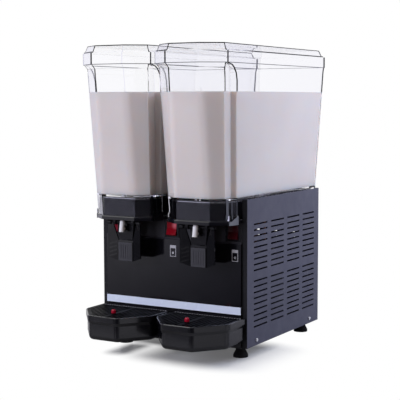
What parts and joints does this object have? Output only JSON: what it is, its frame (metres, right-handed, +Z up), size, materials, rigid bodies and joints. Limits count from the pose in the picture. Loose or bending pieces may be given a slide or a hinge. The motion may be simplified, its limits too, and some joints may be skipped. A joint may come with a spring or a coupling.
{
  "type": "cold drink dispenser",
  "caption": "Counter-top cold drink dispenser with clear bay-fronted bowls and lids on a vented black and grey cabinet, with push-lever taps, rocker switches and drip trays.",
  "frame": {"origin": "on the floor plane under the middle of the bounding box", "axes": "+Z up, the front with the taps and trays faces -Y, +X to the right seen from the front"},
  "size_m": [0.3764, 0.5456, 0.6767],
  "materials": {
    "clear_plastic": "clear moulded plastic",
    "gloss_black": "high gloss",
    "satin_black": "satin, lightly grained",
    "grey_paint": "satin powder coat",
    "galvanised": "galvanised sheet",
    "black_rubber": "matt",
    "seal_rubber": "matt",
    "stainless": "brushed",
    "black_steel": "blackened",
    "white_plastic": "gloss",
    "red_plastic": "translucent gloss",
    "red_lamp": "lit translucent gloss",
    "pale_strip": "plain, gloss",
    "motor_can": "satin",
    "magnet": "matt",
    "compressor_paint": "satin black",
    "aluminium_fin": "bare",
    "fan_plastic": "matt",
    "copper": "bare copper"
  },
  "bodies": {
    "cabinet": {"base_pan": "galvanised", "bowl_gasket_left": "seal_rubber", "bowl_gasket_right": "seal_rubber", "capillary_tubes": "copper", "case_screws": "stainless", "cold_plate_left": "stainless", "cold_plate_right": "stainless", "compressor": "compressor_paint", "compressor_mounts": "black_rubber", "condenser": "aluminium_fin", "deck": "gloss_black", "discharge_pipe": "copper", "fan_motor": "galvanised", "fan_shroud": "galvanised", "filter_dryer": "copper", "front_panel": "gloss_black", "label_strip": "pale_strip", "lever_pin_left": "black_steel", "lever_pin_right": "black_steel", "liquid_line": "copper", "mixer_motor_left": "motor_can", "mixer_motor_right": "motor_can", "plinth_left": "gloss_black", "plinth_right": "gloss_black", "power_inlet": "satin_black", "rear_panel": "grey_paint", "rubber_feet": "black_rubber", "side_panel_left": "grey_paint", "side_panel_right": "grey_paint", "suction_pipes": "copper", "switch_housings": "satin_black", "tap_body_left": "satin_black", "tap_body_right": "satin_black", "tap_nozzle_left": "white_plastic", "tap_nozzle_right": "white_plastic"},
    "bowl_left": {"bowl_left": "clear_plastic"},
    "lid_left": {"lid_left": "clear_plastic"},
    "lever_left": {"tap_lever_left": "satin_black"},
    "plunger_left": {"tap_plunger_left": "satin_black"},
    "impeller_left": {"impeller_left": "white_plastic"},
    "drive_left": {"drive_magnet_left": "magnet"},
    "tray_left": {"drip_tray_left": "satin_black"},
    "grille_left": {"tray_grille_left": "satin_black"},
    "float_left": {"tray_float_left": "red_plastic"},
    "bowl_right": {"bowl_right": "clear_plastic"},
    "lid_right": {"lid_right": "clear_plastic"},
    "lever_right": {"tap_lever_right": "satin_black"},
    "plunger_right": {"tap_plunger_right": "satin_black"},
    "impeller_right": {"impeller_right": "white_plastic"},
    "drive_right": {"drive_magnet_right": "magnet"},
    "tray_right": {"drip_tray_right": "satin_black"},
    "grille_right": {"tray_grille_right": "satin_black"},
    "float_right": {"tray_float_right": "red_plastic"},
    "rocker_left": {"rocker_left": "red_plastic"},
    "rocker_middle": {"rocker_middle": "red_lamp"},
    "rocker_right": {"rocker_right": "red_plastic"},
    "fan": {"fan_blades": "fan_plastic"}
  },
  "joints": [
    {"name": "bowl_left_lift", "type": "slide", "parent": "cabinet", "child": "bowl_left", "axis": [0, 0, 1], "range_m": [0, 0.12]},
    {"name": "lid_left_lift", "type": "slide", "parent": "bowl_left", "child": "lid_left", "axis": [0, 0, 1], "range_m": [0, 0.08]},
    {"name": "lever_left_push", "type": "hinge", "parent": "cabinet", "child": "lever_left", "pos_m": [-0.0935, -0.1825, 0.2905], "axis": [1, 0, 0], "range_deg": [0, 18], "stiffness_Nm_per_rad": 0.35, "springref_deg": -8.59},
    {"name": "plunger_left_lift", "type": "slide", "parent": "cabinet", "child": "plunger_left", "axis": [0, 0, 1], "range_m": [0, 0.0072]},
    {"name": "impeller_left_spin", "type": "hinge", "parent": "cabinet", "child": "impeller_left", "pos_m": [-0.0935, 0.018, 0.43], "axis": [0, 0, 1], "continuous": true},
    {"name": "drive_left_spin", "type": "hinge", "parent": "cabinet", "child": "drive_left", "pos_m": [-0.0935, 0.018, 0.38], "axis": [0, 0, 1], "continuous": true},
    {"name": "tray_left_pull", "type": "slide", "parent": "cabinet", "child": "tray_left", "axis": [0, -1, 0], "range_m": [0, 0.15]},
    {"name": "grille_left_lift", "type": "slide", "parent": "tray_left", "child": "grille_left", "axis": [0, 0, 1], "range_m": [0, 0.03]},
    {"name": "float_left_rise", "type": "slide", "parent": "tray_left", "child": "float_left", "axis": [0, 0, 1], "range_m": [0, 0.012]},
    {"name": "bowl_right_lift", "type": "slide", "parent": "cabinet", "child": "bowl_right", "axis": [0, 0, 1], "range_m": [0, 0.12]},
    {"name": "lid_right_lift", "type": "slide", "parent": "bowl_right", "child": "lid_right", "axis": [0, 0, 1], "range_m": [0, 0.08]},
    {"name": "lever_right_push", "type": "hinge", "parent": "cabinet", "child": "lever_right", "pos_m": [0.0935, -0.1825, 0.2905], "axis": [1, 0, 0], "range_deg": [0, 18], "stiffness_Nm_per_rad": 0.35, "springref_deg": -8.59},
    {"name": "plunger_right_lift", "type": "slide", "parent": "cabinet", "child": "plunger_right", "axis": [0, 0, 1], "range_m": [0, 0.0072]},
    {"name": "impeller_right_spin", "type": "hinge", "parent": "cabinet", "child": "impeller_right", "pos_m": [0.0935, 0.018, 0.43], "axis": [0, 0, 1], "continuous": true},
    {"name": "drive_right_spin", "type": "hinge", "parent": "cabinet", "child": "drive_right", "pos_m": [0.0935, 0.018, 0.38], "axis": [0, 0, 1], "continuous": true},
    {"name": "tray_right_pull", "type": "slide", "parent": "cabinet", "child": "tray_right", "axis": [0, -1, 0], "range_m": [0, 0.15]},
    {"name": "grille_right_lift", "type": "slide", "parent": "tray_right", "child": "grille_right", "axis": [0, 0, 1], "range_m": [0, 0.03]},
    {"name": "float_right_rise", "type": "slide", "parent": "tray_right", "child": "float_right", "axis": [0, 0, 1], "range_m": [0, 0.012]},
    {"name": "rocker_left_tip", "type": "hinge", "parent": "cabinet", "child": "rocker_left", "pos_m": [-0.154, -0.131, 0.2768], "axis": [1, 0, 0], "range_deg": [0, 20]},
    {"name": "rocker_middle_tip", "type": "hinge", "parent": "cabinet", "child": "rocker_middle", "pos_m": [0, -0.131, 0.2768], "axis": [1, 0, 0], "range_deg": [0, 20]},
    {"name": "rocker_right_tip", "type": "hinge", "parent": "cabinet", "child": "rocker_right", "pos_m": [0.154, -0.131, 0.2768], "axis": [1, 0, 0], "range_deg": [0, 20]},
    {"name": "fan_spin", "type": "hinge", "parent": "cabinet", "child": "fan", "pos_m": [-0.097, 0.053, 0.135], "axis": [1, 0, 0], "continuous": true}
  ],
  "couplings": [
    {"joint": "plunger_left_lift", "follows": "lever_left_push", "m_per_rad": 0.022},
    {"joint": "drive_left_spin", "follows": "impeller_left_spin", "ratio": 1},
    {"joint": "plunger_right_lift", "follows": "lever_right_push", "m_per_rad": 0.022},
    {"joint": "drive_right_spin", "follows": "impeller_right_spin", "ratio": 1}
  ]
}
